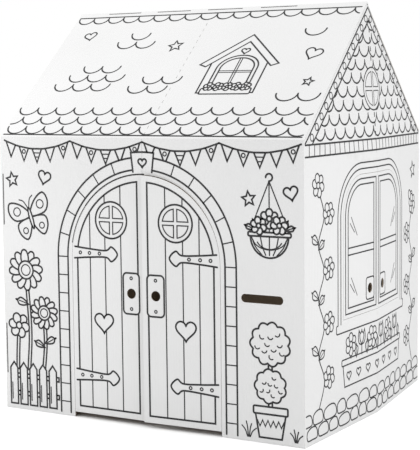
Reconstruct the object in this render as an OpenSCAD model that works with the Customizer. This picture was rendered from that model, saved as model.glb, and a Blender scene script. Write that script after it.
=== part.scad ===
// Cardboard playhouse: two creased sheets of corrugated board that lock together with tabs,
// a double door and a pair of window shutters cut from the walls.
// The origin is on the ground under the middle of the house. The doors face -Y, the window faces +X.

/* [House] */
// Width of the front wall
house_w = 810; // [780:5:850]
// Depth between the front and back walls
house_d = 720; // [690:5:760]
// Height of the eaves
wall_h = 670; // [650:5:700]
// Height of the ridge
ridge_h = 980; // [940:5:1020]
// Thickness of the board
board_t = 3; // [2.5:0.5:4]
// How far the middle crease of a gable wall stands out
side_bulge = 26; // [10:1:32]
// Height at which the gable crease starts to lean back in
bulge_top = 600; // [590:5:630]

/* [Doors] */
// Width of the doorway
door_w = 400; // [360:10:420]
// Height of the top of the arch
door_peak = 586; // [560:2:600]
// Gap between the doors and the ground
door_lift = 12; // [8:1:20]
// Angle at which the right door stands ajar
door_ajar = 2.5; // [1:0.5:3]
// Height of the finger holes in the doors
door_finger_z = 309; // [280:1:340]
// Distance from the doors' split to their finger holes
door_finger_in = 35; // [28:1:45]

/* [Window] */
// Width of the window, measured along the wall
window_w = 356; // [320:4:380]
// Height of the window's lower edge
window_sill = 252; // [220:2:270]
// Height of the window's upper edge
window_head = 580; // [560:2:585]
// Radius of the window's upper corners
window_corner_r = 95; // [60:5:120]
// Height of the finger holes in the shutters
shutter_finger_z = 308; // [290:1:340]
// Distance from the crease to the finger holes in the shutters
shutter_finger_in = 40; // [28:1:50]

/* [Cuts] */
// Width of the cut between a door or shutter and the wall
cut_gap = 0.8; // [0.7:0.1:1.5]
// Diameter of a finger hole
finger_d = 24; // [18:1:30]
// Length of the mail slot
slot_len = 103; // [80:1:120]
// Height of the mail slot's opening
slot_h = 19; // [14:1:26]
// Distance from the middle of the house to the middle of the mail slot
slot_x = 303; // [290:1:310]
// Height of the mail slot's middle line
slot_z = 320; // [280:1:360]

/* [Tabs and flaps] */
// Length of a corner tab
corner_tab_len = 124; // [90:2:130]
// Height of the lower corner tab's lower end
low_tab_z = 87; // [60:1:110]
// Height of the upper corner tab's lower end
high_tab_z = 455; // [430:1:470]
// Length of a ridge tab
ridge_tab_len = 98; // [70:2:110]
// Distance from one ridge tab to the next
ridge_tab_pitch = 148; // [130:2:150]
// Distance from the left end of the ridge to the first tab
ridge_tab_start = 89; // [80:1:95]
// Number of ridge tabs
ridge_tabs = 4; // [2:1:4]
// How far a tab's end stays below the outer face
tab_recess = 1; // [0.5:0.1:2]
// Width of the flange at the front left corner
corner_flange_w = 45; // [35:1:60]
// Width of the flange over the ridge
ridge_flange_w = 60; // [40:1:80]
// Width of the flaps under the roof
rake_flap_w = 60; // [40:1:80]
// Width of the glued flap at the back right corner
glue_flap_w = 45; // [35:1:60]
// Free space between layers of board
fit_gap = 0.2; // [0.1:0.05:0.3]

/* [Creases] */
// Width of a pressed crease
crease_w = 3; // [2:0.5:5]
// Depth of a pressed crease
crease_depth = 0.5; // [0.3:0.1:0.8]
// Length of a cut in a perforated crease
perf_len = 10; // [6:1:14]
// Distance from one such cut to the next
perf_pitch = 22; // [18:1:30]
// Width of such a cut
perf_w = 1; // [0.6:0.1:1.5]

/* [Hidden] */

arc_fn = 96;
hole_fn = 48;
overrun = 5;
half_w = house_w / 2;
half_d = house_d / 2;
far = 2 * ridge_h;

// Roof: pitch, length along the slope, and the depth of each layer below the front panel's outer plane
pitch = atan2(ridge_h - wall_h, half_d);
slope_len = norm([half_d, ridge_h - wall_h]);
under_front = board_t + fit_gap;
under_rear = 2 * under_front;
rear_wall_h = milli(wall_h - under_front / cos(pitch));
ridge_margin = 40;
flap_taper = 30;
flange_taper = 12;
flap_root = 2 * board_t;

// Gable walls: turn of a half wall, its length, the board's thickness measured along x,
// and the shift that brings the left wall inside its flange
side_turn = atan2(half_d, side_bulge);
side_len = norm([half_d, side_bulge]);
side_t = milli(board_t / sin(side_turn));
left_shift = milli(under_front / sin(side_turn));
crease_x = half_w + side_bulge;
gable_lean = atan2(side_bulge, ridge_h - bulge_top);
gable_crease_len = norm([side_bulge, ridge_h - bulge_top]);
slit_w = left_shift + side_t - board_t + 2 * fit_gap;
left_edge = board_t + 2 * fit_gap;

door_r = door_w / 2;
door_spring = door_peak - door_r;
window_half = window_w / 2;
tab_heights = [low_tab_z, high_tab_z];

// Rounds to a thousandth, so that panels which share a fold share its corners exactly
function milli(v) = round(v * 1000) / 1000;

// Where each ridge tab starts along the roof
function ridge_tab_x(i) = -half_w + ridge_tab_start + i * ridge_tab_pitch;

// Frames. In each one, x runs along the panel, y runs up it and z points out of it, with z = 0 on the outer face.
module front_frame() {
    translate([0, -half_d, 0]) rotate([90, 0, 0]) children();
}

module back_frame() {
    mirror([0, 1, 0]) front_frame() children();
}

module side_front_frame() {
    translate([half_w, -half_d, 0]) rotate([90, 0, side_turn]) children();
}

module side_rear_frame() {
    mirror([0, 1, 0]) side_front_frame() children();
}

module left_side() {
    translate([left_shift, 0, 0]) mirror([1, 0, 0]) children();
}

module front_roof_frame() {
    translate([0, -half_d, wall_h]) rotate([pitch, 0, 0]) children();
}

module rear_roof_frame() {
    mirror([0, 1, 0]) front_roof_frame() children();
}

// One layer of board from a flat outline, its outer face a given depth below z = 0
module layer(drop = 0) {
    translate([0, 0, -drop - board_t]) linear_extrude(board_t) children();
}

// Cuts a flat shape through one layer of board
module layer_hole() {
    translate([0, 0, -2 * board_t]) linear_extrude(3 * board_t) children();
}

// Everything higher than a given depth below the roof's front plane, and below its rear plane
module above_front(drop) {
    front_roof_frame() translate([-far / 2, -far, -drop]) cube([far, 2 * far, far]);
}

module above_rear(drop) {
    mirror([0, 1, 0]) above_front(drop);
}

// Pressed crease from one height to another on a frame's y axis, and a row of cuts through the board there
module crease(from, to) {
    translate([-crease_w / 2, from, -crease_depth]) cube([crease_w, to - from, board_t]);
}

module perforation(from, to) {
    for (y = [from : perf_pitch : to - perf_len])
        translate([-perf_w / 2, y, -2 * board_t]) cube([perf_w, perf_len, 3 * board_t]);
}

// Flat shapes
module doorway_shape(inset = 0) {
    translate([0, door_spring]) circle(r = door_r - inset, $fn = arc_fn);
    translate([-door_r + inset, -overrun]) square([door_w - 2 * inset, door_spring + overrun]);
}

module door_shape() {
    difference() {
        doorway_shape(cut_gap);
        translate([-cut_gap / 2, -overrun]) square([door_w, door_peak + 2 * overrun]);
        translate([-door_w, door_lift - door_peak]) square([2 * door_w, door_peak]);
        translate([-door_finger_in, door_finger_z]) circle(d = finger_d, $fn = hole_fn);
    }
}

// Half of the window, from its hinge line at x = 0 to the crease
module window_shape(inset = 0) {
    spring = window_head - window_corner_r;
    translate([window_corner_r, spring]) circle(r = window_corner_r - inset, $fn = arc_fn);
    translate([inset, window_sill + inset])
        square([window_half - inset, spring - window_sill - inset]);
    translate([window_corner_r, window_sill + inset])
        square([window_half - window_corner_r, window_head - window_sill - 2 * inset]);
}

module shutter_shape() {
    difference() {
        window_shape(cut_gap);
        translate([window_half - cut_gap / 2, 0]) square([window_half, ridge_h]);
        translate([window_half - shutter_finger_in, shutter_finger_z]) circle(d = finger_d, $fn = hole_fn);
    }
}

module mail_slot_shape() {
    reach = (slot_len - slot_h) / 2;
    translate([slot_x - reach, slot_z - slot_h / 2]) square([2 * reach, slot_h]);
    for (end = [-reach, reach])
        translate([slot_x + end, slot_z]) circle(d = slot_h, $fn = hole_fn);
}

// The corner that is cut off the end of a flap whose fold is at x = 0, with the flap above the cut
module taper_cut(width, taper) {
    polygon([
        [flap_root, -overrun],
        [flap_root, 0],
        [width, taper],
        [width + overrun, taper],
        [width + overrun, -overrun],
    ]);
}

// Cross-section of the back wall and the rear roof panel, drawn a little past the ridge
module rear_section() {
    slant = [cos(pitch), -sin(pitch)];
    inward = [-sin(pitch), -cos(pitch)];
    top = [0, ridge_h - under_front / cos(pitch)] - 2 * overrun * slant;
    polygon([
        [half_d, 0],
        [half_d, rear_wall_h],
        top,
        top + board_t * inward,
        [half_d - board_t, rear_wall_h + board_t * tan(pitch) - board_t / cos(pitch)],
        [half_d - board_t, 0],
    ]);
}

// Cross-section of the front wall, the front roof panel and the flange that folds over the ridge
module front_section() {
    fold = board_t / cos(pitch);
    flange_end = [0, ridge_h] + ridge_flange_w * [cos(pitch), -sin(pitch)];
    polygon([
        [-half_d, 0],
        [-half_d, wall_h],
        [0, ridge_h],
        flange_end,
        flange_end - board_t * [sin(pitch), cos(pitch)],
        [0, ridge_h - fold],
        [board_t - half_d, wall_h + board_t * tan(pitch) - fold],
        [board_t - half_d, 0],
    ]);
}

// Extrudes a section drawn in the house's y and z along its whole width
module along_width() {
    translate([-half_w, 0, 0]) rotate([90, 0, 90]) linear_extrude(house_w) children();
}

// A gable wall: two upright halves that meet at the standing crease, and the gable that leans in above them
module gable_wall() {
    outer = [
        [half_w, -half_d, 0],
        [crease_x, 0, 0],
        [half_w, half_d, 0],
        [half_w, half_d, wall_h],
        [half_w, 0, ridge_h],
        [half_w, -half_d, wall_h],
        [crease_x, 0, bulge_top],
    ];
    inner = [for (p = outer) p - [side_t, 0, 0]];
    difference() {
        polyhedron(points = concat(outer, inner), faces = [
            [0, 5, 6, 1], [1, 6, 3, 2], [5, 4, 6], [6, 4, 3],
            [7, 8, 13, 12], [8, 9, 10, 13], [12, 13, 11], [13, 10, 11],
            [0, 1, 8, 7], [1, 2, 9, 8], [2, 3, 10, 9], [3, 4, 11, 10], [4, 5, 12, 11], [5, 0, 7, 12],
        ]);
        above_front(under_front);
        above_rear(under_rear);
        translate([crease_x, 0, bulge_top]) rotate([90, 0, 90]) rotate([-gable_lean, 0, 0])
            perforation(perf_pitch, gable_crease_len - perf_pitch);
    }
}

// The two flaps that fold in from a gable's slopes and lie under the roof
module rake_flaps() {
    for (side = [0, 1])
        mirror([0, side, 0]) front_roof_frame() layer((side == 0 ? under_front : under_rear) + fit_gap)
            translate([half_w, ridge_margin]) mirror([1, 0]) difference() {
                square([rake_flap_w, slope_len - 2 * ridge_margin]);
                taper_cut(rake_flap_w, flap_taper);
                translate([0, slope_len - 2 * ridge_margin]) mirror([0, 1]) taper_cut(rake_flap_w, flap_taper);
            }
}

// A flap along a house corner, parallel to the right wall's front half, from a corner at x = corner_x
module corner_flap(corner_x, width, height) {
    run = width * [cos(side_turn), sin(side_turn)];
    start = [corner_x, -half_d];
    difference() {
        linear_extrude(height) polygon([start, start + run, start + run - [side_t, 0], start - [side_t, 0]]);
        translate([corner_x, -half_d, 0]) rotate([90, 0, side_turn])
            translate([0, 0, -2 * board_t]) linear_extrude(4 * board_t) {
                taper_cut(width, flange_taper);
                translate([0, height]) mirror([0, 1]) taper_cut(width, flange_taper);
            }
    }
}

// Both halves of the window, and a strip at the crease between them
module window_holes() {
    for (side = [0, 1])
        mirror([0, side, 0]) side_front_frame()
            translate([side_len - window_half, 0, 0]) layer_hole() {
                window_shape();
                translate([window_half - 1, window_sill]) square([2, window_head - window_sill]);
            }
}

module corner_slits() {
    front_frame() for (z = tab_heights)
        translate([-half_w + board_t, z - fit_gap, -board_t - fit_gap])
            cube([slit_w, corner_tab_len + 2 * fit_gap, board_t + overrun]);
}

module ridge_slits() {
    rear_roof_frame() for (i = [0 : ridge_tabs - 1])
        translate([ridge_tab_x(i) - fit_gap, slope_len - 2 * overrun, -under_rear])
            cube([ridge_tab_len + 2 * fit_gap, 4 * overrun, under_front + fit_gap / 2]);
}

module ridge_flange_ends() {
    for (side = [0, 1])
        mirror([side, 0, 0]) rear_roof_frame()
            translate([half_w, slope_len, -2 * board_t]) rotate(-90) mirror([0, 1])
                linear_extrude(4 * board_t) taper_cut(ridge_flange_w, flange_taper);
}

// The rear panel's edge at the ridge: it stops under the front panel, and only the tabs go through it
module ridge_edge_cut() {
    above_front(tab_recess);
    difference() {
        above_front(under_front);
        for (i = [0 : ridge_tabs - 1])
            translate([ridge_tab_x(i), -half_d, 0]) cube([ridge_tab_len, house_d, 2 * ridge_h]);
    }
}

// The left wall's front edge: it stops behind the front wall, and only the tabs go through it
module corner_edge_cut() {
    slab = [house_w, house_d, 2 * ridge_h];
    translate([-house_w, tab_recess - half_d - slab.y, -overrun]) cube(slab);
    difference() {
        translate([-house_w, left_edge - half_d - slab.y, -overrun]) cube(slab);
        for (z = tab_heights)
            translate([-house_w, -house_d, z]) cube([house_w, house_d, corner_tab_len]);
    }
}

// The strip with the back wall and the rear roof panel, its wall narrower than its roof
module rear_strip() {
    end = half_w - left_shift;
    difference() {
        along_width() rear_section();
        ridge_edge_cut();
        for (side = [0, 1])
            mirror([side, 0, 0]) translate([end, half_d - 2 * board_t, -overrun])
                cube([overrun + left_shift, 4 * board_t, rear_wall_h - board_t + overrun]);
        back_frame() crease(-overrun, rear_wall_h - crease_w);
        rear_roof_frame() translate([0, 0, -under_front])
            perforation(perf_len, slope_len - ridge_flange_w - perf_len);
    }
}

// The sheet with the front wall, the right gable wall and the front roof panel
module front_sheet() {
    color("whitesmoke") {
        difference() {
            along_width() front_section();
            front_frame() layer_hole() {
                doorway_shape();
                mail_slot_shape();
            }
            front_frame() crease(door_peak - overrun, wall_h - crease_w);
            front_roof_frame() perforation(perf_len, slope_len - ridge_margin);
            corner_slits();
            ridge_slits();
            ridge_flange_ends();
        }
        difference() {
            gable_wall();
            window_holes();
        }
        rake_flaps();
        mirror([1, 0, 0]) corner_flap(half_w, corner_flange_w, wall_h - flange_taper);
    }
}

// The sheet with the left gable wall, the back wall and the rear roof panel
module rear_sheet() {
    color("gainsboro") {
        rear_strip();
        difference() {
            left_side() gable_wall();
            corner_edge_cut();
        }
        left_side() rake_flaps();
        mirror([0, 1, 0]) corner_flap(half_w - left_shift, glue_flap_w, rear_wall_h - flange_taper);
    }
}

module left_door() {
    color("white") front_frame() layer() door_shape();
}

module right_door() {
    color("white")
        translate([door_r, -half_d, 0]) rotate([0, 0, door_ajar]) translate([-door_r, half_d, 0])
            front_frame() layer() mirror([1, 0]) door_shape();
}

module front_shutter() {
    color("white") side_front_frame() translate([side_len - window_half, 0, 0]) layer() shutter_shape();
}

module rear_shutter() {
    color("white") side_rear_frame() translate([side_len - window_half, 0, 0]) layer() shutter_shape();
}

front_sheet();
rear_sheet();
left_door();
right_door();
front_shutter();
rear_shutter();
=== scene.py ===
import functools
import math
import random

import bpy
import numpy as np
from mathutils import Matrix


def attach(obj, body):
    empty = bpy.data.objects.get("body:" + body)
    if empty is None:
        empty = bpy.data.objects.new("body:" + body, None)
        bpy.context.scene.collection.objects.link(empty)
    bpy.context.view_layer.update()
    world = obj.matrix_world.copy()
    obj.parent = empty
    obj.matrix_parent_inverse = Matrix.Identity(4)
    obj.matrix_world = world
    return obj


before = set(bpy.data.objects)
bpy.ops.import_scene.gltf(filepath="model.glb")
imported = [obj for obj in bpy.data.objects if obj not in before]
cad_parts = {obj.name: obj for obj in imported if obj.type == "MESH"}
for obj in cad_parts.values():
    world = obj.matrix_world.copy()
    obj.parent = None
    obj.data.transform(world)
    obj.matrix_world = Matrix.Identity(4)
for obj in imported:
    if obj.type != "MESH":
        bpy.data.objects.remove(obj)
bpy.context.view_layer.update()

# The house, in millimetres, as the frame has it
HALF_W = 405.0
HALF_D = 360.0
WALL_H = 670.0
RIDGE_H = 980.0
BULGE = 26.0
BULGE_TOP = 600.0
LAYER = 3.2
DOOR_R = 200.0
DOOR_SPRING = 386.0
DOOR_LIFT = 12.0
DOOR_AJAR = math.radians(2.5)
DOOR_FINGER = (35.0, 309.0)
WINDOW_HALF = 178.0
WINDOW_SILL = 252.0
WINDOW_HEAD = 580.0
WINDOW_R = 95.0
SHUTTER_FINGER = (40.0, 308.0)
FINGER_R = 12.0
SLOT = (303.0, 320.0, 103.0, 19.0)

PITCH = math.atan2(RIDGE_H - WALL_H, HALF_D)
SIDE_TURN = math.atan2(HALF_D, BULGE)
SIDE_LEN = math.hypot(HALF_D, BULGE)
LEFT_SHIFT = LAYER / math.sin(SIDE_TURN)
FLUTE = 7.0

# Ink: line widths, how far it lies above and in the board, and how finely curves are drawn,
# in millimetres. Some faces are drawn bolder. Lines that cross have tops at different heights.
PEN = 3.2
FINE = 2.1
FRONT_BOLD = 1.34
ROOF_BOLD = 1.22
INK_TOP = 0.22
INK_LAYER, INK_LAYERS = 0.02, 5
INK_ROOT = 0.05
STEP = 1.5
LOOSE = 0.06
LONGEST, LONGEST_FLAT, LONGEST_FOLDED = 40.0, 60.0, 4.0
END_CAP = ((0.62, 0.78), (0.96, 0.28))

# How far the drawing keeps from hinges, cuts and the edges of a face
HINGE_FREE = 7.0
EDGE_FREE = 4.0
FRONT_FACE = (-393, 6, 400, 665)
BACK_FACE = (-395, 6, 395, 652)
ROOF_FACE = (-399, 6, 399, 463)
REAR_ROOF_FACE = (-399, 6, 399, 410)
FLANGE_FACE = (-380, 424, 380, 466)
HIDDEN_CORNER = (306, 0, 400, 662)

# The cut round the doorway's arch, and the cuts of the perforated crease in the gable, whose shadowed
# gaps are painted as dark ink lines
CUT_SHADE_OFFSET = 1.4
PERF_START, PERF_PITCH, PERF_LEN, PERF_HALF = 22.0, 22.0, 10.0, 0.5
PERF_SHADE_WIDTH = 1.6
PERF_SKIP = (712, 828)

# Sizes in the drawing that several faces share
GABLE_BEAM, BEAM_H = 632.0, 26.0
SLOPE_LINES = (10.5, 33.0)
BEAD_DROP, BEAD_R = 21.8, 7.6
ARCH_IN, ARCH_OUT, STONES = 212.0, 240.0, 13
ROOF_SCALE, RIDGE_SCALE, GABLE_SCALE = 54, 46, 50
SCALE_DEPTH, SCALE_SQUASH = 0.62, 0.92
COBBLE_H = 60

# Depths in the board at which its paper changes, in metres
CUT_DEPTH = (0.00058, 0.00064)
INNER_DEPTH = (0.00262, 0.0027)
FLUTE_MIDDLE, FLUTE_SWING = 0.0016, 0.0009
FLUTE_EDGE = (0.0001, 0.00035)
FOLD_DARK_BAND = (0.0002, 0.0011)

# Where the corner's and the ridge's slits begin, as -x and as z, in metres. Beyond these the cut edges
# are painted near-black as the slits' shade.
SLIT_CORNER = (0.3915, 0.3925)
SLIT_RIDGE = (0.952, 0.954)

# The camera as fitted to the photograph: turns in degrees, place in metres, the rest in pixels
IMAGE = (420, 450)
CAMERA_TURN = (29.136, 5.112, -0.663)
CAMERA_AT = (1.527205, -2.807006, 0.785775)
CAMERA_FOCAL = 1263.675
CAMERA_MIDDLE = (205.014, 199.365)
SENSOR = 36.0

# Each light's place, size and power, and the point that they face, in metres and watts
LIGHTS = {
    "top": ((1.1, 0.4, 6.0), 4.0, 200),
    "front_left": ((-1.3, -1.25, 1.0), 0.8, 11.3),
    "right": ((1.9, -0.5, 0.7), 0.8, 6.2),
    "room": ((0.0, 0.0, 0.03), 0.3, 0.3),
}
AIM = (0, 0, 0.5)
FLOOR_HALF = 12.0
FLOOR_DROP = 0.0005


# ---- flat shapes: each is an array of points, in millimetres ----

def points(*pairs):
    return np.array(pairs, float)


def arc(cx, cy, r, start, end, squash=1.0):
    """Part of a circle or upright ellipse, with its angles in degrees."""
    n = max(4, int(abs(end - start) / 360 * 2 * math.pi * r / STEP) + 1)
    a = np.radians(np.linspace(start, end, n))
    return np.stack([cx + r * np.cos(a), cy + r * squash * np.sin(a)], 1)


def circle(cx, cy, r, squash=1.0):
    return arc(cx, cy, r, 0, 360, squash)[:-1]


def box(x0, y0, x1, y1):
    return points((x0, y0), (x1, y0), (x1, y1), (x0, y1))


def round_box(x0, y0, x1, y1, r):
    corners = ((x1 - r, y0 + r, -90), (x1 - r, y1 - r, 0), (x0 + r, y1 - r, 90), (x0 + r, y0 + r, 180))
    return np.concatenate([arc(cx, cy, r, a, a + 90) for cx, cy, a in corners])


def arch(x, foot, spring, r, squash=1.0):
    """An outline with straight sides from its foot to where its arch springs."""
    return np.concatenate([points((x - r, foot), (x + r, foot), (x + r, spring)),
                           arc(x, spring, r, 0, 180, squash)])


def smooth(pairs, closed=False):
    """A curve through the given points."""
    p = np.array(pairs, float)
    n = len(p)
    if closed:
        ends = [(p[i - 1], p[i], p[(i + 1) % n], p[(i + 2) % n]) for i in range(n)]
    else:
        q = np.concatenate([[2 * p[0] - p[1]], p, [2 * p[-1] - p[-2]]])
        ends = [tuple(q[i:i + 4]) for i in range(n - 1)]
    out = []
    for a, b, c, d in ends:
        t = np.linspace(0, 1, max(4, int(np.linalg.norm(c - b) / STEP)), endpoint=False)[:, None]
        out.append(b + 0.5 * t * (c - a + t * (2 * a - 5 * b + 4 * c - d + t * (3 * (b - c) + d - a))))
    if not closed:
        out.append(p[-1:])
    return np.concatenate(out)


def turned(pts, angle, at=(0, 0), scale=1.0, flip=False):
    """Points that are mirrored, scaled, turned by an angle in degrees, and moved."""
    c, s = math.cos(math.radians(angle)), math.sin(math.radians(angle))
    p = np.array(pts, float) * (scale * (-1 if flip else 1), scale)
    return p @ np.array([[c, s], [-s, c]]) + np.array(at, float)


def dense(pts, closed):
    """The same line with points at most STEP apart."""
    p = np.concatenate([pts, pts[:1]]) if closed else np.array(pts, float)
    out = []
    for a, b in zip(p[:-1], p[1:]):
        n = max(1, math.ceil(np.linalg.norm(b - a) / STEP))
        out.append(a + (b - a) * np.linspace(0, 1, n, endpoint=False)[:, None])
    out.append(p[-1:])
    return np.concatenate(out)


def inside(p, shape):
    """Which points lie in a closed shape."""
    x, y = p[:, 0], p[:, 1]
    hit = np.zeros(len(p), bool)
    for (ax, ay), (bx, by) in zip(shape, np.roll(shape, -1, 0)):
        if ay != by:
            hit ^= ((ay > y) != (by > y)) & (x < (bx - ax) * (y - ay) / (by - ay) + ax)
    return hit


def thinned(p, longest):
    """Drops the points that a straight line doesn't need, with no piece over the longest length."""
    keep = [0]
    while keep[-1] < len(p) - 1:
        a = keep[-1]
        best = a + 1
        for b in range(a + 2, len(p)):
            chord = p[b] - p[a]
            length = np.linalg.norm(chord)
            if length > longest or length < 1e-6:
                break
            x, y = (p[a + 1:b] - p[a]).T
            off = np.abs(x * chord[1] - y * chord[0]) / length
            if off.max() > LOOSE:
                break
            best = b
        keep.append(best)
    return p[keep]


class Panel:
    """A line drawing for one face of the house.
    What is drawn first lies in front and hides what comes later."""

    def __init__(self, name, body, place, edge, holes=(), longest=LONGEST, bold=1.0):
        self.name, self.body, self.place, self.edge = name, body, place, edge
        self.longest, self.bold = longest, bold
        self.hidden = [(h, h.min(0), h.max(0)) for h in holes]
        self.strokes = []

    def seen(self, p):
        ok = inside(p, self.edge)
        for shape, low, high in self.hidden:
            near = ok & (p > low).all(1) & (p < high).all(1)
            if near.any():
                ok[near] &= ~inside(p[near], shape)
        return ok

    def line(self, pts, width=PEN, closed=False):
        width = width * self.bold
        p = dense(pts, closed)
        ok = self.seen(p)
        if ok.all():
            self.strokes.append((p, width, closed))
            return
        if closed:
            first = int(np.argmin(ok))
            p, ok = np.roll(p[:-1], -first, 0), np.roll(ok[:-1], -first)
        edges = np.flatnonzero(np.diff(np.concatenate([[0], ok.astype(int), [0]])))
        for a, b in zip(edges[::2], edges[1::2]):
            if b - a > 2:
                self.strokes.append((p[a:b], width, False))

    def shape(self, pts, width=PEN):
        """A closed outline that hides what lies behind it."""
        self.line(pts, width, closed=True)
        self.hide(pts)

    def hide(self, pts):
        self.hidden.append((pts, pts.min(0), pts.max(0)))

    def solid(self):
        """Builds the drawing as thin raised ink that rides on its body."""
        vertices, faces = [], []
        for k, (p, width, closed) in enumerate(self.strokes):
            add_stroke(vertices, faces, self, p, width, closed, INK_TOP + INK_LAYER * (k % INK_LAYERS))
        mesh = bpy.data.meshes.new(self.name)
        mesh.from_pydata(vertices, [], faces)
        mesh.materials.append(ink_and_cut_shade_material())
        piece = bpy.data.objects.new(self.name, mesh)
        bpy.context.scene.collection.objects.link(piece)
        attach(piece, self.body)
        return piece


def add_stroke(vertices, faces, panel, p, width, closed, top):
    """One line of ink: a strip with a flat top, sides and bottom, and round ends."""
    if closed:
        p = thinned(p, panel.longest)[:-1]
        before, after = p - np.roll(p, 1, 0), np.roll(p, -1, 0) - p
    else:
        p = thinned(p, panel.longest)
        steps = np.diff(p, axis=0)
        before, after = np.concatenate([steps[:1], steps]), np.concatenate([steps, steps[-1:]])
    before = before / np.linalg.norm(before, axis=1)[:, None]
    after = after / np.linalg.norm(after, axis=1)[:, None]
    along = before + after
    size = np.maximum(np.linalg.norm(along, axis=1), 0.9)[:, None]
    across = np.stack([-along[:, 1], along[:, 0]], 1) * 2 / size ** 2
    half = np.full(len(p), width / 2)
    if not closed:
        p, across, half = with_round_ends(p, before[0], after[-1], across, half)
    left, right = p + across * half[:, None], p - across * half[:, None]
    rings = [panel.place(left, top), panel.place(right, top),
             panel.place(right, -INK_ROOT), panel.place(left, -INK_ROOT)]
    base, n = len(vertices), len(p)
    vertices.extend(np.stack(rings, 1).reshape(-1, 3).tolist())
    for i in range(n if closed else n - 1):
        a, b = base + 4 * i, base + 4 * ((i + 1) % n)
        faces.extend((a + j, a + (j + 1) % 4, b + (j + 1) % 4, b + j) for j in range(4))
    if not closed:
        a, b = base, base + 4 * (n - 1)
        faces.extend([(a + 3, a + 2, a + 1, a), (b, b + 1, b + 2, b + 3)])


def with_round_ends(p, start, end, across, half):
    """Adds two cross-sections beyond each end of a line."""
    r = half[0]
    head = [p[0] - start * r * reach for reach, _ in reversed(END_CAP)]
    tail = [p[-1] + end * r * reach for reach, _ in END_CAP]
    shares = [share for _, share in END_CAP]
    p = np.concatenate([head, p, tail])
    across = np.concatenate([across[:1]] * 2 + [across] + [across[-1:]] * 2)
    half = np.concatenate([[r * s for s in reversed(shares)], half, [r * s for s in shares]])
    return p, across, half


# ---- where each panel lies: from a drawing's points and a height above the board to metres ----

def metres(x, y, z):
    return np.stack([x, y, z], 1) / 1000


def on_front(p, lift):
    return metres(p[:, 0], np.full(len(p), -HALF_D - lift), p[:, 1])


def on_right_door(p, lift):
    """Drawn from the split outwards, and turned to where the right door stands ajar."""
    x, y = p[:, 0] - DOOR_R, np.full(len(p), -lift)
    c, s = math.cos(DOOR_AJAR), math.sin(DOOR_AJAR)
    return metres(DOOR_R + c * x - s * y, -HALF_D + s * x + c * y, p[:, 1])


def on_left_door(p, lift):
    return on_front(p * (-1, 1), lift)


def on_back(p, lift):
    return metres(p[:, 0], np.full(len(p), HALF_D + lift), p[:, 1])


def side_x(y, z):
    """How far out the right gable wall stands, which is folded along three lines."""
    across = np.abs(y) / HALF_D
    lean = (RIDGE_H - (RIDGE_H - WALL_H) * across - z) / (RIDGE_H - BULGE_TOP)
    return HALF_W + BULGE * np.minimum(1 - across, lean)


def on_right(p, lift):
    y, z = p[:, 0], p[:, 1]
    return metres(side_x(y, z) + lift, y, z)


def on_left(p, lift):
    """The left wall seen from outside: drawn with the front corner at +x."""
    y, z = -p[:, 0], p[:, 1]
    return metres(LEFT_SHIFT - side_x(y, z) - lift, y, z)


def on_front_roof(p, lift):
    y = -HALF_D + p[:, 1] * math.cos(PITCH) - lift * math.sin(PITCH)
    return metres(p[:, 0], y, WALL_H + p[:, 1] * math.sin(PITCH) + lift * math.cos(PITCH))


def on_rear_roof(p, lift):
    """Drawn as seen from behind, on the panel that lies one layer lower."""
    q = on_front_roof(p * (-1, 1), lift - LAYER)
    return q * (1, -1, 1)


def on_flange(p, lift):
    q = on_front_roof(p * (-1, 1), lift)
    return q * (1, -1, 1)


def on_shutter(side):
    """Drawn from the middle crease outwards, on the front (-1) or rear (1) half of the window."""
    def place(p, lift):
        out = 1 - p[:, 0] / SIDE_LEN
        x = HALF_W + BULGE * out + lift * math.sin(SIDE_TURN)
        y = side * (HALF_D * (1 - out) + lift * math.cos(SIDE_TURN))
        return metres(x, y, p[:, 1])
    return place


# ---- materials ----

class Shade:
    """Builds the nodes of one procedural material.
    Its places are in the rest frame, so they follow a moving piece."""

    def __init__(self, name):
        self.material = bpy.data.materials.new(name)
        self.material.use_nodes = True
        self.tree = self.material.node_tree
        self.tree.nodes.clear()
        self.surface = self.add("ShaderNodeBsdfPrincipled")
        output = self.add("ShaderNodeOutputMaterial")
        self.tree.links.new(self.surface.outputs["BSDF"], output.inputs["Surface"])
        self.point = self.add("ShaderNodeTexCoord").outputs["Object"]

    def add(self, kind, inputs=None, **settings):
        made = self.tree.nodes.new(kind)
        for name, value in settings.items():
            setattr(made, name, value)
        for name, value in (inputs or {}).items():
            self.put(made.inputs[name], value)
        return made

    def put(self, socket, value):
        if isinstance(value, bpy.types.NodeSocket):
            self.tree.links.new(value, socket)
        else:
            socket.default_value = value

    def math(self, operation, a, b=0.0, c=0.0, clamp=False):
        made = self.add("ShaderNodeMath", {0: a, 1: b, 2: c}, operation=operation, use_clamp=clamp)
        return made.outputs[0]

    def dot(self, vector):
        made = self.add("ShaderNodeVectorMath", {0: self.point, 1: vector}, operation="DOT_PRODUCT")
        return made.outputs["Value"]

    def ramp(self, value, low, high):
        """0 below low and 1 above high."""
        made = self.add("ShaderNodeMapRange", {0: value, 1: low, 2: high},
                        interpolation_type="SMOOTHSTEP")
        return made.outputs[0]

    def mix(self, share, a, b):
        made = self.add("ShaderNodeMix", {0: share, 6: a, 7: b}, data_type="RGBA")
        return made.outputs[2]

    def noise(self, scale, detail=2.0, stretch=(1, 1, 1)):
        scaled = self.add("ShaderNodeVectorMath", {0: self.point, 1: stretch}, operation="MULTIPLY")
        inputs = {"Vector": scaled.outputs[0], "Scale": scale, "Detail": detail}
        return self.add("ShaderNodeTexNoise", inputs).outputs[0]

    def bump(self, height, distance):
        made = self.add("ShaderNodeBump", {"Height": height, "Distance": distance})
        self.put(self.surface.inputs["Normal"], made.outputs[0])


def rgb(r, g, b):
    return (r, g, b, 1.0)


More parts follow.
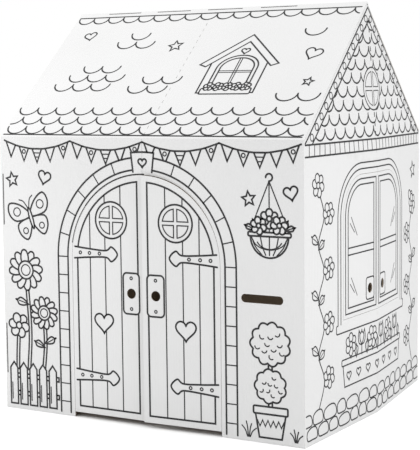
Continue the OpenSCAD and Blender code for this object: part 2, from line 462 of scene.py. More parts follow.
WHITE_LINER = rgb(0.56, 0.56, 0.56)
WHITE_SHADE = rgb(0.544, 0.544, 0.543)
FOLD_DARK_LINER = rgb(0.50, 0.497, 0.49)
KRAFT = rgb(0.45, 0.36, 0.265)
KRAFT_DARK = rgb(0.37, 0.29, 0.21)
FLUTE_PAPER = rgb(0.54, 0.48, 0.41)
# Painted shade: the dark in the hollows of the open flutes on the cut edges
FLUTE_HOLLOW_SHADE = rgb(0.16, 0.125, 0.095)
# Painted shade: the near-black on the cut edges of the slits at the left front corner and the ridge
SLIT_PAINTED_SHADE = rgb(0.03, 0.028, 0.026)
INK_AND_CUT_SHADE = rgb(0.013, 0.013, 0.014)
INK_WORN = rgb(0.035, 0.035, 0.036)
FLOOR_WHITE = rgb(0.94, 0.94, 0.94)
FLOOR_SHADE = rgb(0.9306, 0.9306, 0.9306)


def board_material(name, planes):
    """Corrugated board: white paper on the outer planes, brown paper inside, and open flutes on the cut
    edges, with painted shade in the flutes' hollows and near-black painted shade on the slits' cut
    edges. Each plane is its outward direction and a point on it, in millimetres."""
    s = Shade(name)
    nearest, second = plane_depths(s, planes)
    wave = flute_wave(s)
    inner = s.ramp(nearest, *INNER_DEPTH)
    cut = s.ramp(nearest, *CUT_DEPTH)
    fibre = s.noise(900.0, 2.0, (1, 1, 0.3))
    brown = s.mix(s.ramp(fibre, 0.3, 0.75), KRAFT, KRAFT_DARK)
    middle = s.math("MULTIPLY_ADD", wave, FLUTE_SWING, FLUTE_MIDDLE)
    off_wave = s.math("ABSOLUTE", s.math("SUBTRACT", nearest, middle))
    paper = s.math("SUBTRACT", 1.0, s.ramp(off_wave, *FLUTE_EDGE))
    # Painted shade on the cut edges: dark in the flutes' hollows, and near-black in the slits
    edge = s.mix(slit_shade_mask(s), s.mix(paper, FLUTE_HOLLOW_SHADE, FLUTE_PAPER), SLIT_PAINTED_SHADE)
    colour = s.mix(cut, white_liner(s, second), s.mix(inner, edge, brown))
    s.put(s.surface.inputs["Base Color"], colour)
    s.put(s.surface.inputs["Roughness"], s.math("MULTIPLY_ADD", fibre, 0.16, 0.74))
    s.surface.inputs["Specular IOR Level"].default_value = 0.28
    tooth = s.math("MULTIPLY_ADD", fibre, 0.35, s.math("MULTIPLY", s.noise(7.0, 2.0), 6.0))
    s.bump(s.math("ADD", tooth, wave), 0.00005)
    return s.material


def plane_depths(s, planes):
    """How deep a place lies under the nearest plane and under the second nearest, in metres."""
    nearest, second = None, None
    for normal, point in planes:
        n = np.array(normal, float) / np.linalg.norm(normal)
        depth = s.math("SUBTRACT", float(n @ np.array(point, float)) / 1000, s.dot(tuple(n)))
        if nearest is None:
            nearest = depth
            continue
        further = s.math("MAXIMUM", nearest, depth)
        second = further if second is None else s.math("MINIMUM", second, further)
        nearest = s.math("MINIMUM", nearest, depth)
    return nearest, second


def white_liner(s, second):
    """White paper with faint clouds, darker in patches along the folds, where a second plane is near."""
    white = s.mix(s.ramp(s.noise(3.0, 3.0), 0.35, 0.7), WHITE_LINER, WHITE_SHADE)
    if second is None:
        return white
    near_fold = s.math("SUBTRACT", 1.0, s.ramp(second, *FOLD_DARK_BAND))
    fold_dark = s.math("MULTIPLY", near_fold, s.ramp(s.noise(60.0), 0.35, 0.75))
    return s.mix(s.math("MULTIPLY", fold_dark, 0.55), white, FOLD_DARK_LINER)


def slit_shade_mask(s):
    """1 near the left front corner and the ridge, where the slits hardly let light in and their cut
    edges are painted near-black as shade.
    """
    corner = s.ramp(s.dot((-1, 0, 0)), *SLIT_CORNER)
    ridge = s.ramp(s.dot((0, 0, 1)), *SLIT_RIDGE)
    return s.math("MAXIMUM", corner, ridge)


def flute_wave(s):
    """The wave of the paper between the liners. The flutes run up the walls and the roof."""
    turn = 2 * math.pi / (FLUTE / 1000)
    along_x = s.math("SINE", s.math("MULTIPLY", s.dot((1, 0, 0)), turn))
    along_y = s.math("SINE", s.math("MULTIPLY", s.dot((0, 1, 0)), turn))
    edge = HALF_W / 1000
    on_side = s.ramp(s.math("ABSOLUTE", s.dot((1, 0, 0))), edge - 0.0045, edge - 0.0040)
    return s.math("ADD", s.math("MULTIPLY", along_y, on_side),
                  s.math("MULTIPLY", along_x, s.math("SUBTRACT", 1.0, on_side)))


@functools.cache
def ink_and_cut_shade_material():
    """Matt black printing ink, a little thinner in places. It also draws the painted shade of the cuts
    round the doorway's arch and in the gable's crease.
    """
    s = Shade("ink")
    s.put(s.surface.inputs["Base Color"], s.mix(s.ramp(s.noise(140.0, 3.0), 0.4, 0.8), INK_AND_CUT_SHADE, INK_WORN))
    s.put(s.surface.inputs["Roughness"], s.math("MULTIPLY_ADD", s.noise(300.0), 0.2, 0.55))
    s.surface.inputs["Specular IOR Level"].default_value = 0.3
    return s.material


def side_planes(shift=0.0, face=1):
    """The four outer planes of a gable wall, on the right (1) or the left (-1)."""
    crease = np.array([HALF_W + BULGE, 0, BULGE_TOP])
    planes = []
    for side in (-1, 1):
        corner = np.array([HALF_W, side * HALF_D, WALL_H])
        apex = np.array([HALF_W, 0, RIDGE_H])
        upright = np.array([HALF_D, side * BULGE, 0.0])
        leaning = np.cross(corner - crease, apex - crease) * (1 if side > 0 else -1)
        for normal in (upright, leaning):
            planes.append((normal * (face, 1, 1), (crease - (shift, 0, 0)) * (face, 1, 1)))
    return planes


def dress_boards():
    slope = (math.sin(PITCH), math.cos(PITCH))
    down = LAYER / math.cos(PITCH)
    front = ((0, -1, 0), (0, -HALF_D, 0))
    front_roof = ((0, -slope[0], slope[1]), (0, -HALF_D, WALL_H))
    flange = ((0, slope[0], slope[1]), (0, HALF_D, WALL_H))
    rear = ((0, 1, 0), (0, HALF_D, 0))
    rear_roof = ((0, slope[0], slope[1]), (0, HALF_D, WALL_H - down))
    ajar = (math.sin(DOOR_AJAR), -math.cos(DOOR_AJAR), 0)
    hinge = (DOOR_R, -HALF_D, 0)
    right = side_planes()
    boards = {
        "front_sheet": [front, front_roof, flange] + right + side_planes(face=-1),
        "rear_sheet": [rear, rear_roof] + side_planes(LEFT_SHIFT, -1),
        "left_door": [front],
        "right_door": [(ajar, hinge)],
        "front_shutter": [right[0]],
        "rear_shutter": [right[2]],
    }
    for name, planes in boards.items():
        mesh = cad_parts[name].data
        material = board_material("board_" + name, planes)
        mesh.materials.clear()
        mesh.materials.append(material)


# ---- motifs ----

ROUND = circle(0, 0, 20) / 20
GOLDEN_TURN = math.pi * (3 - math.sqrt(5))


def band(pts, width):
    """The outline of a strip along a line."""
    steps = np.gradient(np.array(pts, float), axis=0)
    side = np.stack([-steps[:, 1], steps[:, 0]], 1) / np.linalg.norm(steps, axis=1)[:, None] * width / 2
    return np.concatenate([pts + side, (pts - side)[::-1]])


def heart(panel, x, y, size, angle=0):
    t = np.linspace(0, 2 * math.pi, 48, endpoint=False)
    tall = 13 * np.cos(t) - 5 * np.cos(2 * t) - 2 * np.cos(3 * t) - np.cos(4 * t)
    outline = np.stack([16 * np.sin(t) ** 3, tall], 1) / 16
    panel.shape(turned(outline, angle, (x, y), size))


def star(panel, x, y, r, angle=0):
    a = np.radians(np.arange(10) * 36 + 90)
    reach = np.where(np.arange(10) % 2, 0.46, 1.0)
    panel.shape(turned(np.stack([np.cos(a) * reach, np.sin(a) * reach], 1), angle, (x, y), r))


def petal(length, width, tip=0.0):
    """An outline from the origin up, round-ended or with a pointed tip."""
    one = smooth([(0, 0), (width * 0.42, length * 0.35), (width * 0.5, length * 0.68),
                  (width * 0.28 * (1 - tip), length * (0.94 - 0.06 * tip)), (0, length)])
    return np.concatenate([one, (one * (-1, 1))[::-1][1:-1]])


def leaf(panel, x, y, length, angle, share=0.42):
    """A pointed leaf with a vein. The vein is drawn over the leaf that hides what lies behind."""
    panel.shape(turned(petal(length, length * share, 1.0), angle, (x, y)))
    hidden = panel.hidden.pop()
    rib = length * 0.72
    panel.line(turned(smooth([(0, 0), (rib * 0.02, rib * 0.5), (0, rib)]), angle, (x, y)), FINE)
    panel.hidden.append(hidden)


def flower(panel, x, y, r, petals=6, angle=0):
    panel.shape(circle(x, y, r * 0.27))
    for k in range(petals):
        panel.shape(turned(petal(r, r * 4.3 / petals), angle + k * 360 / petals, (x, y)))


def sunflower(panel, x, y, r, angle=0):
    heart_r = r * 0.44
    panel.line(circle(x, y, heart_r * 0.6), FINE, True)
    panel.shape(circle(x, y, heart_r))
    for k in range(12):
        panel.shape(turned(petal(r, r * 0.44), angle + k * 30, (x, y)))


def tulip(panel, x, y, size, angle=0):
    """A tulip whose cup stands on (x, y)."""
    middle = turned(petal(size, size * 0.56, 1.0), angle, (x, y))
    panel.shape(middle)
    for side in (-1, 1):
        cup = smooth([(0, 0), (0.36 * side, 0.12), (0.5 * side, 0.5), (0.4 * side, 0.98)])
        cup = np.concatenate([cup, smooth([(0.4 * side, 0.98), (0.2 * side, 0.7), (0, 0.5)])])
        panel.shape(turned(cup, angle, (x, y), size))


def stem(panel, pts, width=6.0):
    panel.shape(band(smooth(pts), width))


def bush(panel, x, y, r, bumps, seed):
    """A clipped bush with a scalloped outline and leaf marks that are spread along a spiral."""
    t = np.linspace(0, 2 * math.pi, int(2 * math.pi * r / STEP), endpoint=False)
    reach = r * (0.9 + 0.13 * np.abs(np.sin(bumps * t / 2)))
    pick = random.Random(seed)
    marks = int(r / 4.5)
    for k in range(marks):
        a, d = GOLDEN_TURN * k + seed, r * 0.72 * math.sqrt((k + 0.4) / marks)
        at = (x + d * math.cos(a), y + d * math.sin(a))
        panel.line(turned(arc(0, 0, r * 0.13, 200, 340), pick.uniform(-40, 40), at), FINE)
    panel.shape(np.stack([x + reach * np.cos(t), y + reach * np.sin(t)], 1))


def pot(panel, x, y, width, height):
    rim = height * 0.24
    panel.shape(round_box(x - width / 2, y + height - rim, x + width / 2, y + height, 3))
    foot, top = width * 0.33, width * 0.44
    body = points((x - foot, y), (x + foot, y), (x + top, y + height - rim), (x - top, y + height - rim))
    zigzag = points(*[(x + width * 0.39 * (k / 5 - 1), y + height * (0.36 if k % 2 else 0.56))
                      for k in range(11)])
    panel.line(zigzag, FINE)
    panel.shape(body)


def butterfly(panel, x, y, size, angle):
    def put(shape):
        return turned(shape, angle, (x, y), size)

    for side in (-1, 1):
        panel.line(put(smooth([(0.02 * side, 0.42), (0.16 * side, 0.74), (0.34 * side, 0.86)])), FINE)
    panel.shape(put(ROUND * (0.08, 0.44)))
    for side in (-1, 1):
        for px, py, r in ((0.6, 0.42, 0.17), (0.42, -0.42, 0.12)):
            panel.line(put(ROUND * r + (side * px, py)), FINE, True)
        upper = smooth([(0.0, 0.1), (0.34, 0.62), (0.86, 0.84), (1.0, 0.44), (0.72, 0.06)], True)
        lower = smooth([(0.0, 0.0), (0.66, -0.06), (0.72, -0.46), (0.44, -0.78), (0.16, -0.5)], True)
        panel.shape(put(upper * (side, 1)))
        panel.shape(put(lower * (side, 1)))


def bunting(panel, start, end, top, sag, flags):
    """One swag of string with hanging flags, plain and patterned in turn."""
    def string(t):
        return start + (end - start) * t, top - sag * 4 * t * (1 - t)

    for k in range(flags):
        (ax, ay), (bx, by) = string((k + 0.14) / flags), string((k + 0.86) / flags)
        tip = ((ax + bx) / 2, (ay + by) / 2 - 33)
        if k % 3 == 1:
            panel.line(circle(tip[0], tip[1] + 23, 4.5), FINE, True)
        elif k % 3 == 2:
            for share in (0.3, 0.6):
                panel.line(points((ax + (tip[0] - ax) * share, ay + (tip[1] - ay) * share),
                                  (bx + (tip[0] - bx) * share, by + (tip[1] - by) * share)), FINE)
        panel.shape(points((ax, ay), tip, (bx, by)))
    t = np.linspace(0, 1, 60)
    panel.line(np.stack(string(t), 1))


def scales(panel, x0, x1, y, width, rows):
    """Rows of round-ended shingles. Each next row lies higher and half a step over."""
    for row in range(rows):
        x = x0 - width + width / 2 * (row % 2)
        while x < x1 + width:
            scale(panel, x, y, row, width)
            x += width


def scale(panel, left, y, row, width):
    middle, level = left + width / 2, y + row * width * SCALE_DEPTH
    panel.line(arc(middle, level, width / 2, 180, 360, SCALE_SQUASH))


def patch(panel, x, y, counts):
    """A few loose rows of the roof's shingles, the lowest first."""
    for row, (first, count) in enumerate(counts):
        for k in range(count):
            scale(panel, x + (first + k + 0.5 * (row % 2)) * ROOF_SCALE, y, row, ROOF_SCALE)


def cobbles(panel, x0, x1, seed):
    """Two courses of uneven round stones along the ground."""
    pick = random.Random(seed)
    for row in range(2):
        x = x0 - 20 * row
        while x < x1:
            w, h = pick.uniform(38, 62), COBBLE_H * pick.uniform(0.44, 0.52)
            low = 10 + row * COBBLE_H * 0.52
            panel.shape(smooth([(x + w * 0.08, low + 3), (x + w * 0.5, low + pick.uniform(-1, 2)),
                                (x + w * 0.93, low + 3), (x + w * 0.98, low + h * 0.55),
                                (x + w * 0.8, low + h * 0.96), (x + w * 0.4, low + h),
                                (x + w * 0.04, low + h * 0.7)], True))
            x += w + 3


def fence(panel, x0, count, pitch, height, foot):
    """Pointed pickets in front of two rails."""
    for k in range(count):
        x = x0 + k * pitch
        panel.line(points((x + 5, foot + 12), (x + 5, foot + height * 0.5)), FINE)
        wide, shoulder = pitch * 0.74, foot + height - 14
        panel.shape(points((x, foot), (x + wide, foot), (x + wide, shoulder),
                           (x + wide / 2, foot + height), (x, shoulder)))
    for low in (0.22, 0.64):
        panel.shape(box(x0 - 8, foot + height * low, x0 + count * pitch, foot + height * low + 10))


def hanging_basket(panel, x, top, drop):
    """A flower basket on three chains from a hook."""
    rim = top - drop
    flower(panel, x - 26, rim + 14, 20, 6, 10)
    flower(panel, x + 24, rim + 16, 21, 6, 30)
    flower(panel, x, rim + 30, 22, 6, 0)
    for px, angle in ((-52, 70), (-40, 30), (44, -34), (54, -74)):
        leaf(panel, x + px * 0.7, rim + 6, 26, angle)
    low = rim - 9
    panel.shape(round_box(x - 52, low, x + 52, rim, 3))
    for k in range(5):
        panel.line(smooth([(x - 44 + 22 * k, low), (x - 34 + 17 * k, low - 23),
                           (x - 18 + 9 * k, low - 41)]), FINE)
    for k in (1, 2):
        panel.line(arc(x, low - 3, 50 - 9 * k, 180 + 12 * k, 360 - 12 * k, 0.5 + 0.14 * k), FINE)
    bowl = arc(x, low, 46, 0, -180, 1.02)[1:-1]
    panel.shape(np.concatenate([points((x - 46, low), (x + 46, low)), bowl]))
    for side in (-1, 0, 1):
        panel.line(points((x + 48 * side, rim), (x, top)), FINE)
    panel.line(arc(x, top + 8, 8, -90, 180))


def vine(panel, x, low, high, side, seed):
    """A climbing plant: a wavy stem with flowers and leaves in turn."""
    pick = random.Random(seed)
    knots = int((high - low) / 58)
    path = [(x + side * 13 * (1 if k % 2 else -1), low + (high - low) * k / knots)
            for k in range(knots + 1)]
    flower(panel, path[-1][0], path[-1][1] + 8, 27, 6, 15)
    for k in range(1, knots):
        px, py = path[k]
        out = side * (1 if k % 2 else -1)
        if k % 2:
            flower(panel, px + out * 22, py + 4, 26, 6, pick.uniform(0, 60))
        else:
            leaf(panel, px, py + 2, 38, -out * 58, 0.5)
            leaf(panel, px, py - 10, 34, out * 58, 0.5)
    panel.line(smooth(path))


def grass(panel, x, y, size):
    for lean, tall in ((-0.5, 0.7), (-0.18, 1.0), (0.2, 0.86), (0.55, 0.6)):
        panel.line(smooth([(x + lean * size * 0.2, y), (x + lean * size * 0.5, y + tall * size * 0.6),
                           (x + lean * size, y + tall * size)]), FINE)


def round_window(panel, x, y, r, bar=4.5):
    """Four panes between crossed bars, in a round frame."""
    free = math.degrees(math.asin(bar / r))
    pane = np.concatenate([points((bar, bar)), arc(0, 0, r, free, 90 - free)])
    for quarter in range(4):
        panel.line(turned(pane, 90 * quarter, (x, y)), FINE, True)
    panel.shape(circle(x, y, r + 10))


# ---- the drawing on each face ----

def draw_front_wall():
    x, z, w, h = SLOT
    dx, dz = w / 2 + EDGE_FREE, h / 2 + EDGE_FREE
    slot = round_box(x - dx, z - dz, x + dx, z + dz, h / 2)
    panel = Panel("print_and_cut_shade_front_wall", "house", on_front, box(*FRONT_FACE), [slot], bold=FRONT_BOLD)
    # Painted shadow: dark lines just outside the left half of the arch's cut stand for its shadowed gap,
    # thinner towards the foot
    panel.line(arc(0, DOOR_SPRING, DOOR_R + CUT_SHADE_OFFSET, 89, 142), 2.0)
    panel.line(arc(0, DOOR_SPRING, DOOR_R + CUT_SHADE_OFFSET, 142, 170), 1.3)
    panel.hide(arch(0, -20, DOOR_SPRING, DOOR_R + HINGE_FREE))
    draw_stones(panel)
    draw_left_garden(panel)
    draw_right_garden(panel)
    for start, end in ((-393, -200), (-200, 0), (0, 200), (200, 400)):
        bunting(panel, start, end, 661, 20, 5)
    panel.solid()


def draw_stones(panel):
    """Blocks of stone up both sides of the doorway and round its arch, with a keystone."""
    key = np.concatenate([arc(0, DOOR_SPRING, 252, 83, 97), arc(0, DOOR_SPRING, 206, 97, 83)])
    heart(panel, 0, DOOR_SPRING + 228, 11)
    panel.shape(key)
    for k in range(1, STONES):
        if k not in (STONES // 2, STONES // 2 + 1):
            a = math.radians(180 * k / STONES)
            d = np.array([math.cos(a), math.sin(a)])
            panel.line(np.array([d * ARCH_IN, d * ARCH_OUT]) + (0, DOOR_SPRING), FINE)
    for side in (-1, 1):
        for k in range(9):
            z = DOOR_SPRING - 44 * k
            panel.line(points((side * ARCH_IN, z), (side * ARCH_OUT, z)), FINE)
        for x in (ARCH_IN, ARCH_OUT):
            panel.line(points((side * x, 8), (side * x, DOOR_SPRING)))
    for r in (ARCH_IN, ARCH_OUT):
        panel.line(arc(0, DOOR_SPRING, r, 0, 180))
    panel.hide(arch(0, 0, DOOR_SPRING, ARCH_OUT))


def draw_left_garden(panel):
    fence(panel, -391, 5, 29, 104, 12)
    sunflower(panel, -338, 346, 50, 5)
    sunflower(panel, -286, 244, 40, 12)
    flower(panel, -362, 208, 31, 6, 20)
    leaf(panel, -332, 262, 40, 74)
    leaf(panel, -284, 170, 36, -64)
    leaf(panel, -286, 160, 34, 66)
    stem(panel, [(-334, 100), (-328, 200), (-338, 346)], 8.0)
    stem(panel, [(-290, 100), (-283, 170), (-286, 244)], 8.0)
    stem(panel, [(-368, 100), (-366, 150), (-362, 208)], 8.0)
    butterfly(panel, -318, 474, 60, 18)
    star(panel, -372, 566, 18, 10)
    heart(panel, -276, 574, 18, -14)


def draw_right_garden(panel):
    pot(panel, 322, 12, 84, 70)
    bush(panel, 322, 222, 48, 11, 3)
    bush(panel, 322, 128, 38, 9, 8)
    stem(panel, [(322, 70), (322, 150), (322, 230)], 9)
    grass(panel, 268, 10, 34)
    grass(panel, 384, 10, 28)
    hanging_basket(panel, 322, 580, 112)
    star(panel, 272, 540, 17, 8)
    heart(panel, 374, 556, 17, 12)


def door_outline(left, foot, r, end):
    """One door leaf from the split outwards, up to an angle of its arch."""
    return np.concatenate([points((left, foot), (r, foot), (r, DOOR_SPRING)),
                           arc(0, DOOR_SPRING, r, 0, end)])


def strap_hinge(panel, z):
    """A forked strap with three rivets, at a height on a door leaf."""
    for x in (176, 150, 122):
        panel.line(circle(x, z, 3.4), FINE, True)
    curve = smooth([(194, 14), (150, 10), (104, 8), (88, 17), (72, 0), (88, -17), (104, -8),
                    (150, -10), (194, -14)])
    panel.shape(np.concatenate([points((194, -14), (194, 14)), curve]) + (0, z))


def draw_door(name, body, place):
    fx, fz = DOOR_FINGER
    outline = door_outline(5, DOOR_LIFT + 5, DOOR_R - HINGE_FREE, 88.3)
    hole = circle(fx, fz, FINGER_R + EDGE_FREE)
    panel = Panel(name, body, place, outline, [hole], bold=FRONT_BOLD)
    for z in (fz - 36, fz + 36):
        panel.line(circle(fx, z, 3.2), FINE, True)
    panel.shape(round_box(fx - 22, fz - 48, fx + 22, fz + 48, 10))
    for z in (104, 398):
        strap_hinge(panel, z)
    round_window(panel, 88, 478, 33)
    heart(panel, 112, 236, 26)
    edge = 16.0
    low, r = DOOR_LIFT + edge, DOOR_R - edge
    for x in (62, 106, 148):
        panel.line(points((x, low), (x, DOOR_SPRING + math.sqrt(r ** 2 - x * x))), FINE)
    panel.line(door_outline(edge, low, r, 85), PEN, True)
    panel.solid()


def window_outline(grow):
    """Both halves of the window, grown by a margin."""
    r = WINDOW_R + grow
    side, low, spring = WINDOW_HALF + grow, WINDOW_SILL - grow, WINDOW_HEAD + grow - r
    return np.concatenate([points((side, low), (side, spring)), arc(side - r, spring, r, 0, 90),
                           arc(r - side, spring, r, 90, 180), points((-side, spring), (-side, low))])


def under_slope(side, share, drop):
    """A point below the roof's edge, by its share of the way up and its distance from the slope."""
    z = WALL_H + (RIDGE_H - WALL_H) * share - drop / math.cos(PITCH)
    return side * HALF_D * (1 - share), z


def gable_outline(free, drop):
    foot, share = HALF_D - free, free / HALF_D
    return points((-foot, 6), (foot, 6), under_slope(1, share, drop), under_slope(1, 1, drop),
                  under_slope(-1, share, drop))


def draw_gable_trim(panel):
    """A beam of blocks, shingles above it and beads along the slopes."""
    low, high = GABLE_BEAM, GABLE_BEAM + BEAM_H
    panel.bold = ROOF_BOLD
    for k in range(-15, 16):
        panel.line(points((k * 24.0, low), (k * 24.0, high)), FINE)
    for z in (low, high):
        panel.line(points((-HALF_D, z), (HALF_D, z)))
    panel.hide(box(-HALF_D, low, HALF_D, high))
    for side in (-1, 1):
        for k in range(14):
            panel.line(circle(*under_slope(side, (k + 0.45) / 14, BEAD_DROP), BEAD_R), FINE, True)
        for drop in SLOPE_LINES:
            panel.line(points(under_slope(side, 0, drop), under_slope(side, 1, drop)))
    outer, inner = panel.edge, SLOPE_LINES[1]
    panel.edge = points(under_slope(-1, 0, inner), under_slope(1, 0, inner), under_slope(1, 1, inner))
    scales(panel, -HALF_D, HALF_D, high + 30, GABLE_SCALE, 11)
    panel.edge, panel.bold = outer, 1.0


def draw_perforation(panel):
    """Paints the shade of the cuts in the gable's middle crease as dark marks on both sides of each cut,
    but not across the round window.
    """
    z = BULGE_TOP + PERF_START
    while z < RIDGE_H - 2 * PERF_PITCH:
        if not PERF_SKIP[0] < z < PERF_SKIP[1] and z > GABLE_BEAM + BEAM_H:
            for side in (-1, 1):
                x = side * (PERF_HALF + PERF_SHADE_WIDTH / 2)
                panel.line(points((x, z), (x, z + PERF_LEN)), PERF_SHADE_WIDTH)
        z += PERF_PITCH


def draw_right_wall():
    panel = Panel("print_and_cut_shade_right_wall", "house", on_right, gable_outline(5, 9),
                  [window_outline(HINGE_FREE)], longest=LONGEST_FOLDED)
    draw_perforation(panel)
    round_window(panel, 0, 776, 40)
    draw_gable_trim(panel)
    draw_window_frame(panel)
    draw_flower_box(panel)
    cobbles(panel, -352, 352, 11)
    vine(panel, -283, 70, 560, 1, 21)
    vine(panel, 283, 70, 470, -1, 22)
    star(panel, 300, 566, 22, 10)
    heart(panel, 280, 500, 18, -12)
    panel.solid()


def draw_window_frame(panel):
    """A double line round the shutters, which stands on a sill."""
    foot = 244
    for grow in (12, 26):
        line, half = window_outline(grow), WINDOW_HALF + grow
        above = line[line[:, 1] > foot]
        panel.line(np.concatenate([points((half, foot)), above, points((-half, foot))]))
    panel.hide(window_outline(27))
    panel.shape(round_box(-212, 224, 212, 243, 4))


def draw_flower_box(panel):
    """A row of flowers and tulips in a box under the window."""
    for k, x in enumerate(range(-140, 141, 56)):
        if k % 2:
            tulip(panel, x, 180, 36)
        else:
            flower(panel, x, 190, 27, 6, 10 * k)
        leaf(panel, x + 28, 156, 32, 0, 0.5)
        panel.line(points((x, 158), (x, 190)))
    panel.shape(round_box(-186, 146, 186, 160, 4))
    for k in range(7):
        heart(panel, -150 + 50 * k, 120, 11)
    panel.shape(points((-172, 96), (172, 96), (180, 146), (-180, 146)))


def shutter_outline(margin, middle):
    """One shutter from the middle crease outwards, shrunk by a margin."""
    low, far, spring = WINDOW_SILL + margin, WINDOW_HALF - margin, WINDOW_HEAD - WINDOW_R
    return np.concatenate([points((middle, low), (far, low), (far, spring)),
                           arc(WINDOW_HALF - WINDOW_R, spring, WINDOW_R - margin, 0, 90),
                           points((middle, WINDOW_HEAD - margin))])


def draw_shutter(name, body, side):
    fx, fz = SHUTTER_FINGER
    hole = circle(fx, fz, FINGER_R + EDGE_FREE)
    panel = Panel(name, body, on_shutter(side), shutter_outline(HINGE_FREE, 4), [hole])
    panel.shape(round_box(fx - 21, fz - 26, fx + 21, fz + 26, 8))
    far, bar = WINDOW_HALF - 24, (398, 414)
    for low in (WINDOW_SILL + 22, bar[1]):
        for dx in (0, 14):
            panel.line(points((far - 46 + dx, low + 26 + dx * 0.6),
                              (far - 16 + dx * 0.4, low + 70 - dx)), FINE)
    for z in bar:
        panel.line(points((20, z), (far, z)))
    panel.line(shutter_outline(24, 20), PEN, True)
    panel.line(shutter_outline(11, 8), PEN, True)
    panel.solid()


def draw_dormer(panel, x, y):
    """A small roof window with its own gable, flowers on its sill and four panes."""
    for k in range(5):
        flower(panel, x - 48 + 24 * k, y + 26, 14, 5, 20 * k)
    for k in range(4):
        leaf(panel, x - 36 + 24 * k, y + 18, 18, 20 if k % 2 else -20)
    panel.shape(round_box(x - 66, y, x + 66, y + 20, 4))
    for dx in (-3, 3):
        panel.line(points((x + dx, y + 30), (x + dx, y + 128)), FINE)
    for dy in (82, 76):
        panel.line(points((x - 44, y + dy), (x + 44, y + dy)), FINE)
    panel.shape(arch(x, y + 10, y + 92, 44, 0.82))
    panel.shape(arch(x, y + 10, y + 92, 54, 0.84))
    heart(panel, x, y + 154, 11)
    panel.shape(points((x - 104, y + 106), (x, y + 214), (x + 104, y + 106), (x + 86, y + 98),
                       (x, y + 188), (x - 86, y + 98)))
    panel.shape(points((x - 74, y + 4), (x + 74, y + 4), (x + 74, y + 112), (x, y + 190),
                       (x - 74, y + 112)))


def eaves_trim(panel):
    scales(panel, ROOF_FACE[0], ROOF_FACE[2], 36, ROOF_SCALE, 3)
    panel.line(points((ROOF_FACE[0], 8), (ROOF_FACE[2], 8)))


def ridge_trim(panel):
    scales(panel, ROOF_FACE[0], ROOF_FACE[2], 452, RIDGE_SCALE, 1)
    panel.line(points((ROOF_FACE[0], 456), (ROOF_FACE[2], 456)))


def draw_front_roof():
    panel = Panel("print_front_roof", "house", on_front_roof, box(*ROOF_FACE),
                  longest=LONGEST_FLAT, bold=ROOF_BOLD)
    draw_dormer(panel, 150, 150)
    star(panel, -54, 330, 20, 12)
    heart(panel, 330, 290, 22, -14)
    heart(panel, -330, 380, 17, 16)
    star(panel, 350, 190, 14, -10)
    patch(panel, -340, 190, ((0, 3), (0, 3), (1, 2)))
    patch(panel, -230, 350, ((0, 2), (0, 1)))
    patch(panel, -120, 180, ((0, 2), (0, 2)))
    patch(panel, 280, 380, ((0, 1),))
    patch(panel, 286, 150, ((0, 2),))
    eaves_trim(panel)
    ridge_trim(panel)
    panel.solid()


# ---- the faces that the photograph doesn't show, finished plainly with the same trim ----

def draw_rear_roof():
    panel = Panel("print_rear_roof", "house", on_rear_roof, box(*REAR_ROOF_FACE),
                  longest=LONGEST_FLAT, bold=ROOF_BOLD)
    star(panel, -60, 250, 20, 12)
    heart(panel, 200, 290, 22, -14)
    patch(panel, -300, 240, ((0, 3), (0, 2)))
    patch(panel, 40, 340, ((0, 2),))
    patch(panel, 250, 180, ((0, 2), (0, 1)))
    eaves_trim(panel)
    panel.solid()


def draw_ridge_flange():
    panel = Panel("print_ridge_flange", "house", on_flange, box(*FLANGE_FACE),
                  longest=LONGEST_FLAT, bold=ROOF_BOLD)
    ridge_trim(panel)
    panel.solid()


def draw_left_wall():
    panel = Panel("print_left_wall", "house", on_left, gable_outline(5, 13),
                  [box(*HIDDEN_CORNER)], longest=LONGEST_FOLDED)
    draw_gable_trim(panel)
    cobbles(panel, -352, 306, 12)
    vine(panel, -250, 70, 520, 1, 23)
    vine(panel, 0, 70, 430, -1, 24)
    vine(panel, 220, 70, 520, -1, 25)
    panel.solid()


def draw_back_wall():
    panel = Panel("print_back_wall", "house", on_back, box(*BACK_FACE),
                  longest=LONGEST_FLAT, bold=FRONT_BOLD)
    cobbles(panel, -392, 392, 13)
    for k in range(7):
        x = -330 + 110 * k
        tall = 170 + 60 * (k % 2)
        (sunflower if k % 2 else flower)(panel, x, tall, 36)
        leaf(panel, x, tall * 0.6, 34, 60)
        leaf(panel, x, tall * 0.5, 34, -60)
        stem(panel, [(x, 66), (x + 4, tall * 0.6), (x, tall)])
    for start in (-395, -198, 0, 198):
        bunting(panel, start, start + 197, 648, 20, 5)
    panel.solid()


def draw_all():
    draw_front_wall()
    draw_door("print_left_door", "left_door", on_left_door)
    draw_door("print_right_door", "right_door", on_right_door)
    draw_right_wall()
    draw_shutter("print_front_shutter", "front_shutter", -1)
    draw_shutter("print_rear_shutter", "rear_shutter", 1)
    draw_front_roof()
    draw_rear_roof()
    draw_ridge_flange()
    draw_left_wall()
    draw_back_wall()


# ---- studio ----

def put_at(thing, right, up, back, at):
    """Places a camera or a lamp, which looks away from its back."""
    axes = np.stack([right, up, back, at], 1)
    thing.matrix_world = Matrix(np.vstack([axes, (0, 0, 0, 1)]).tolist())
    bpy.context.scene.collection.objects.link(thing)


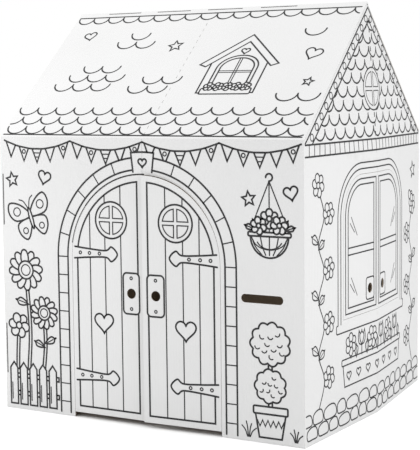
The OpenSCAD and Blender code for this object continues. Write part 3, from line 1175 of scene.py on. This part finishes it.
def add_camera():
    """The camera from which the photograph was taken, as fitted."""
    azimuth, elevation, roll = (math.radians(a) for a in CAMERA_TURN)
    level = math.cos(elevation)
    back = np.array([math.sin(azimuth) * level, -math.cos(azimuth) * level, math.sin(elevation)])
    right = np.array([math.cos(azimuth), math.sin(azimuth), 0])
    up = np.cross(back, right)
    c, s = math.cos(roll), math.sin(roll)
    right, up = c * right + s * up, c * up - s * right
    (wide, high), (middle_x, middle_y) = IMAGE, CAMERA_MIDDLE
    data = bpy.data.cameras.new("camera")
    data.sensor_width = SENSOR
    data.lens = CAMERA_FOCAL / high * SENSOR
    data.shift_x = (wide / 2 - middle_x) / high
    data.shift_y = (middle_y - high / 2) / high
    data.clip_end = 50
    camera = bpy.data.objects.new("camera", data)
    put_at(camera, right, up, back, CAMERA_AT)
    bpy.context.scene.camera = camera


def floor_material():
    """Matt white with faint clouds."""
    s = Shade("floor")
    clouds = s.ramp(s.noise(1.5), 0.3, 0.7)
    s.put(s.surface.inputs["Base Color"], s.mix(clouds, FLOOR_WHITE, FLOOR_SHADE))
    s.surface.inputs["Roughness"].default_value = 0.9
    return s.material


def add_floor():
    mesh = bpy.data.meshes.new("floor")
    r = FLOOR_HALF
    mesh.from_pydata([(-r, -r, 0), (r, -r, 0), (r, r, 0), (-r, r, 0)], [], [(0, 1, 2, 3)])
    mesh.materials.append(floor_material())
    floor = bpy.data.objects.new("floor", mesh)
    floor.location.z = -FLOOR_DROP
    bpy.context.scene.collection.objects.link(floor)


def add_light(name, at, size, power):
    """A square soft light that faces the middle of the house."""
    data = bpy.data.lights.new(name, "AREA")
    data.shape = "SQUARE"
    data.size = size
    data.energy = power
    lamp = bpy.data.objects.new(name, data)
    back = np.array(at) - AIM
    back = back / np.linalg.norm(back)
    right = np.cross((0, 0, 1), back)
    length = np.linalg.norm(right)
    right = right / length if length > 1e-6 else np.array([1.0, 0, 0])
    lamp.visible_camera = False
    put_at(lamp, right, np.cross(back, right), back, at)


def add_studio():
    world = bpy.data.worlds.new("studio")
    world.use_nodes = True
    world.node_tree.nodes["Background"].inputs["Color"].default_value = rgb(1, 1, 1)
    world.node_tree.nodes["Background"].inputs["Strength"].default_value = 1.0
    bpy.context.scene.world = world
    bpy.context.scene.view_settings.view_transform = "Standard"
    for name, (at, size, power) in LIGHTS.items():
        add_light(name, at, size, power)
    add_floor()
    add_camera()


dress_boards()
draw_all()
add_studio()
